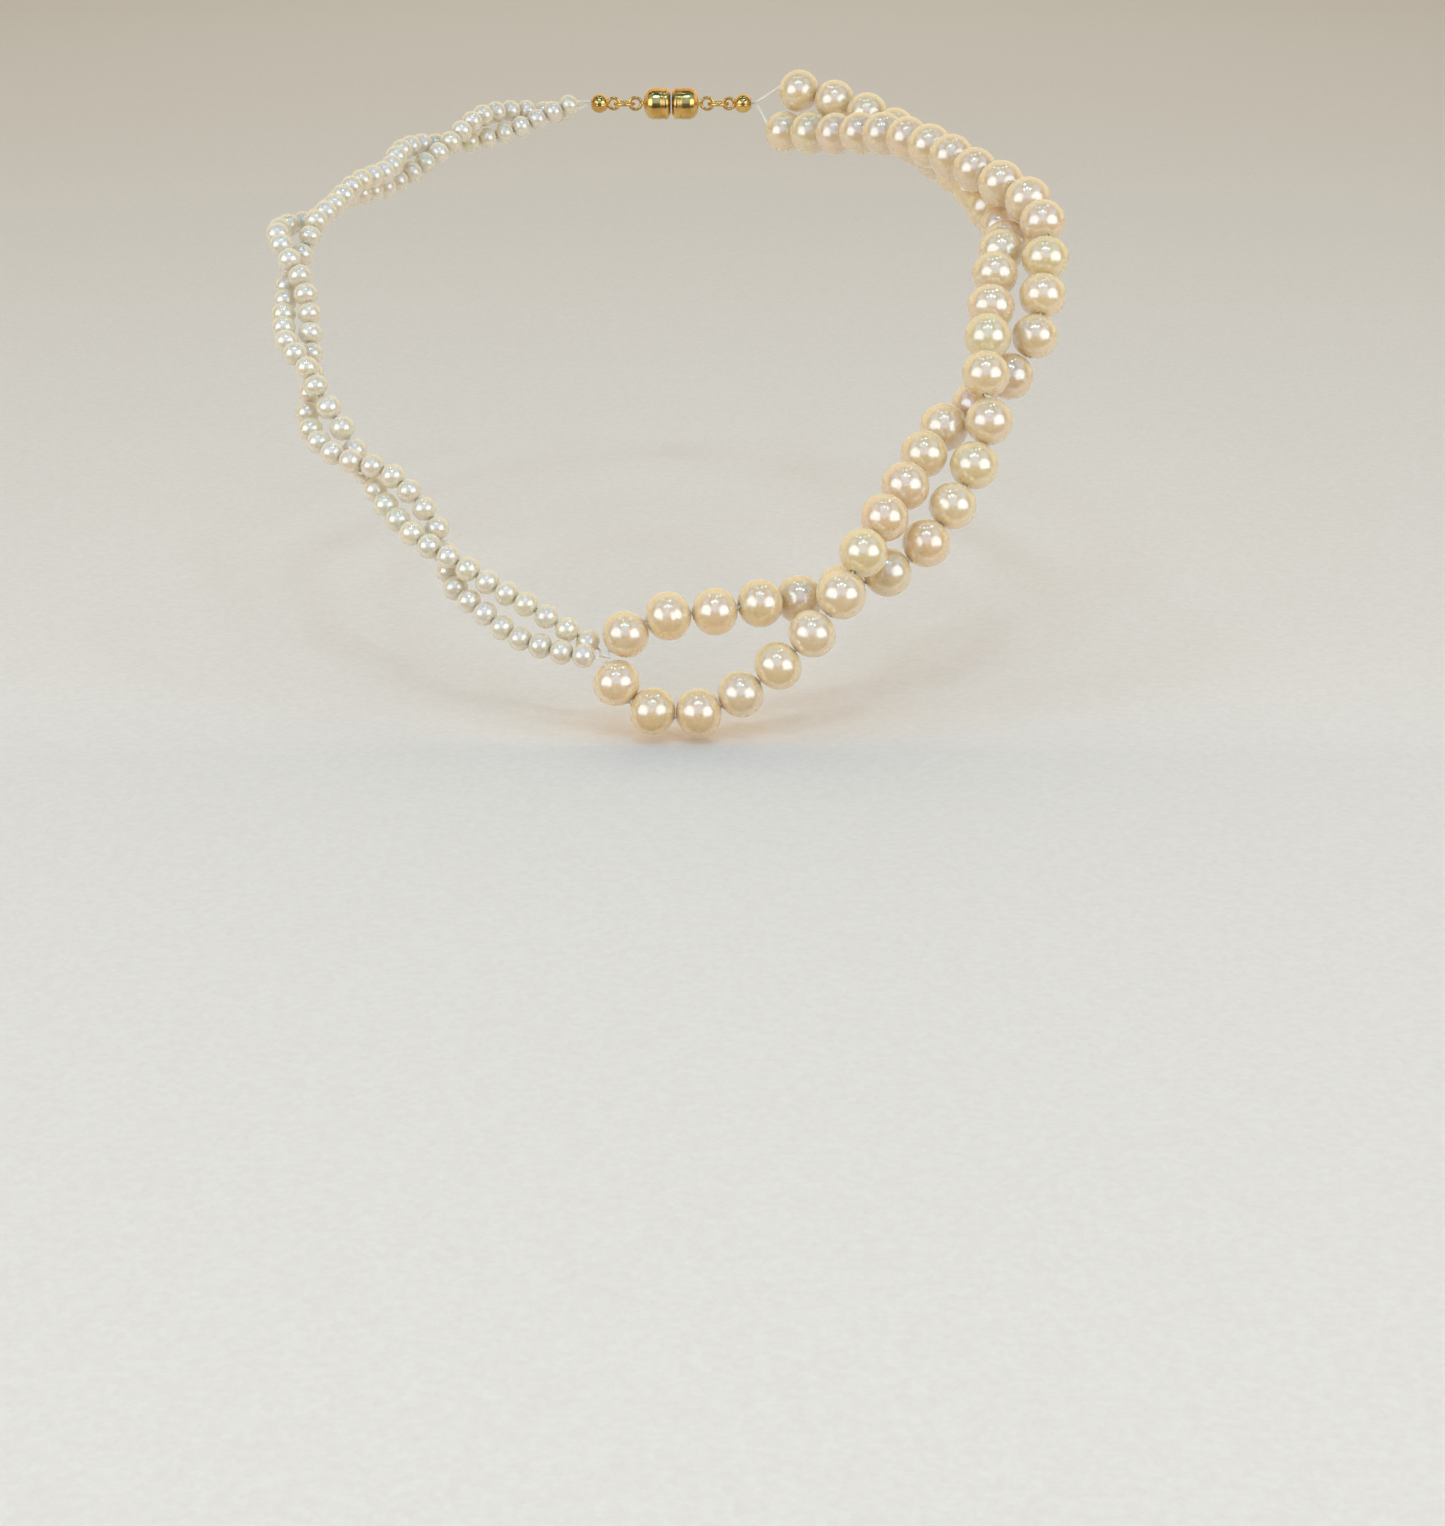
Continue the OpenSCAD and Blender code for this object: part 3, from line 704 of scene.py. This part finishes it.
for s, side in ((1, "large"), (-1, "small")):
    last = f"{side}_{LAST[side]}"
    # knot: an overhand knot of the thread's own thickness, drawn tight
    t = np.linspace(0, 2 * math.pi, 180, endpoint=False)
    kn = np.stack([COVER_X + 0.34 * np.sin(3 * t), (0.40 * np.sin(t) + 0.5 * np.sin(2 * t)), (0.40 * np.cos(t) - 0.5 * np.cos(2 * t))], -1)
    T = np.roll(kn, -1, 0) - np.roll(kn, 1, 0)
    T /= np.linalg.norm(T, axis=1)[:, None]
    th = np.linspace(0, 2 * math.pi, 12, endpoint=False)
    U = np.cross(T, [1.0, 0.2, 0.1])
    U /= np.linalg.norm(U, axis=1)[:, None]
    W = np.cross(T, U)
    V = kn[:, None, :] + 0.29 * (np.cos(th)[None, :, None] * U[:, None, :] + np.sin(th)[None, :, None] * W[:, None, :])
    fitting(f"{side}_end_knot", [(V.reshape(-1, 3), grid_faces(180, 12, True))], s, last, SILK)
    # end cover: two hinged halves closed over the knot, so a seam runs round it, with a hanging loop
    v, f = turned(cover_profile(), s, 72)
    rad = np.linalg.norm(v - [COVER_X, 0, 0], axis=1)
    seam = np.exp(-((v[:, 2] / 0.055) ** 2)) * (rad > 1.75)
    v = v - (v - [COVER_X, 0, 0]) * (0.035 * seam)[:, None]
    fitting(f"{side}_end_cover", [(v, f), ring((11.9, 0, 0), 1.1, 0.35, "xz")], s, last, GOLD)
    # jump ring, with the cut where it was opened
    fitting(f"{side}_jump_ring", [ring((9.7, 0, 0), 1.9, 0.4, "xy", 96, 24, (math.radians(62), 0.07))], s, f"{side}_ring", GOLD)
    # eyelet with its rivet
    rivet = smooth_profile([(4.3, 0.02), (4.3, 0.95), (4.7, 0.95), (4.7, 0.5), (6.22, 0.5), (6.22, 0.02)], 0.08)
    fitting(f"{side}_clasp_eyelet", [ring((7.4, 0, 0), 1.2, 0.35, "xz"), turned(rivet, s, 40)], s, f"{side}_eyelet", GOLD)
    # shell of the clasp half: bevelled mouth, two fine grooves, domed shoulder
    R, m0, mb = 3.2, 0.15, 2.15
    prof = [(m0, mb), (m0 + 0.5, R - 0.15), (m0 + 0.75, R), (1.35, R), (1.42, R - 0.12), (1.58, R - 0.12), (1.65, R),
            (1.85, R), (1.92, R - 0.12), (2.08, R - 0.12), (2.15, R), (3.9, R), (4.7, R - 0.35), (5.3, R - 1.1), (5.6, 1.3), (5.6, 0.56),
            (4.8, 0.56), (4.8, 1.2), (3.1, 1.2), (3.1, mb)]
    fitting(f"{side}_clasp_shell", [turned(smooth_profile(prof, 0.1), s, 96)], s, f"{side}_clasp_half", GOLD)
    mag = [(0.15, 0.02), (0.15, 1.5), (0.2, 1.54), (0.2, 1.62), (0.15, 1.66), (0.15, 2.02), (0.23, 2.1), (3.05, 2.1), (3.05, 0.02)]
    fitting(f"{side}_clasp_magnet", [turned(smooth_profile(mag, 0.03, 3), s, 72)], s, f"{side}_clasp_half", NICKEL)

# ---------------------------------------------------------------- floor and light
FLOOR_Z = cad_box[0][2] - 0.0006
m, nt, b = material("floor")
tc = nt.nodes.new("ShaderNodeTexCoord")
fn = node(nt, "ShaderNodeTexNoise", Scale=900.0, Detail=3.0, Roughness=0.6)
nt.links.new(tc.outputs["Object"], fn.inputs["Vector"])
fr = ramp(nt, [(0.3, srgb(223, 213, 199)), (0.7, srgb(230, 221, 208))])
nt.links.new(fn.outputs["Fac"], fr.inputs["Fac"])
nt.links.new(fr.outputs["Color"], b.inputs["Base Color"])
b.inputs["Roughness"].default_value = 0.75
b.inputs["Specular IOR Level"].default_value = 0.2
fb = node(nt, "ShaderNodeBump", Strength=0.15, Distance=0.0002)
nt.links.new(fn.outputs["Fac"], fb.inputs["Height"])
nt.links.new(fb.outputs["Normal"], b.inputs["Normal"])
floor = new_mesh("floor", [(-6, -6, FLOOR_Z), (6, -6, FLOOR_Z), (6, 8, FLOOR_Z), (-6, 8, FLOOR_Z)], [(0, 1, 2, 3)], None, m, False)

world = bpy.data.worlds.new("world")
scene.world = world
world.use_nodes = True
wn = world.node_tree
bg = wn.nodes["Background"]
wtc = wn.nodes.new("ShaderNodeTexCoord")
side = wn.nodes.new("ShaderNodeVectorMath")
side.operation = "DOT_PRODUCT"
side.inputs[1].default_value = (0.0, 0.95, -0.31)
wn.links.new(wtc.outputs["Generated"], side.inputs[0])
wr = wn.nodes.new("ShaderNodeValToRGB")
mr = wn.nodes.new("ShaderNodeMapRange")
mr.inputs["From Min"].default_value, mr.inputs["From Max"].default_value = -1.0, 1.0
wn.links.new(side.outputs["Value"], mr.inputs["Value"])
wn.links.new(mr.outputs["Result"], wr.inputs["Fac"])
wr.color_ramp.elements[0].position, wr.color_ramp.elements[0].color = 0.51, (0.05, 0.07, 0.10, 1)
wr.color_ramp.elements[1].position, wr.color_ramp.elements[1].color = 0.58, (1.0, 0.80, 0.53, 1)
wn.links.new(wr.outputs["Color"], bg.inputs["Color"])
bg.inputs["Strength"].default_value = 1.0

CENTRE = np.array([0.0, -0.045, -0.035])


def area(name, direction, distance, size, radiance, colour, shape="DISK", size_y=None, glossy=True):
    d = np.asarray(direction, float)
    d /= np.linalg.norm(d)
    data = bpy.data.lights.new(name, "AREA")
    data.shape = shape
    data.size = size
    if size_y:
        data.size_y = size_y
    a = math.pi * size * size / 4 if shape == "DISK" else size * (size_y or size)
    data.energy = radiance * math.pi * a
    data.color = colour
    ob = bpy.data.objects.new(name, data)
    p = CENTRE + d * distance
    ob.location = p
    ob.rotation_euler = Vector(d).to_track_quat("Z", "Y").to_euler()
    ob.visible_camera = False
    ob.visible_glossy = glossy
    scene.collection.objects.link(ob)
    return ob


KEY, COOL = (0.965, 0.995, 1.04), (0.5, 0.76, 1.0)
area("key_left", (-0.734, -0.645, 0.215), 0.95, 0.96, 2.3, KEY)
area("key_right", (0.734, -0.645, 0.215), 0.95, 0.92, 2.42, KEY)
for i, (x, y, z, size, rad) in enumerate((
    (0.0, -0.43, 0.90, 0.10, 30.0), (-0.24, -0.49, 0.84, 0.08, 28.0), (0.24, -0.49, 0.84, 0.08, 28.0),
    (-0.13, 0.02, 0.99, 0.06, 26.0), (0.15, 0.05, 0.98, 0.06, 26.0), (-0.34, 0.2, 0.92, 0.06, 26.0), (0.36, 0.22, 0.9, 0.06, 26.0),
)):
    area(f"ceiling_{i}", (x, y, z), 0.95, size, rad, COOL)
area("front_glow", (0.0, -0.848, 0.53), 0.95, 0.8, 0.95, (0.42, 0.62, 1.0))
for i, x in enumerate((-0.66, 0.66)):
    area(f"upper_glow_{i}", (x, -0.11, 0.74), 0.95, 0.55, 0.9, (0.32, 0.6, 1.0))
area("backdrop", (0.0, 0.78, 0.62), 1.7, 1.5, 1.1, (0.8, 0.92, 1.0), glossy=False)
area("sky", (0.0, 0.1, 1.0), 1.4, 1.6, 0.32, (1.0, 0.96, 0.9), glossy=False)

# a dark card in front, seen only in reflections: the unlit room that the lower half of each pearl mirrors
m, nt, b = material("dark_card")
b.inputs["Base Color"].default_value = (0.03, 0.03, 0.03, 1)
b.inputs["Roughness"].default_value = 0.9
card = new_mesh("dark_card", [(-0.5, -0.9, FLOOR_Z + 0.0002), (0.5, -0.9, FLOOR_Z + 0.0002), (0.5, -0.108, FLOOR_Z + 0.0002), (-0.5, -0.108, FLOOR_Z + 0.0002)], [(0, 1, 2, 3)], None, m, False)
card.visible_camera = False
card.visible_diffuse = False
card.visible_shadow = False
card.visible_transmission = False
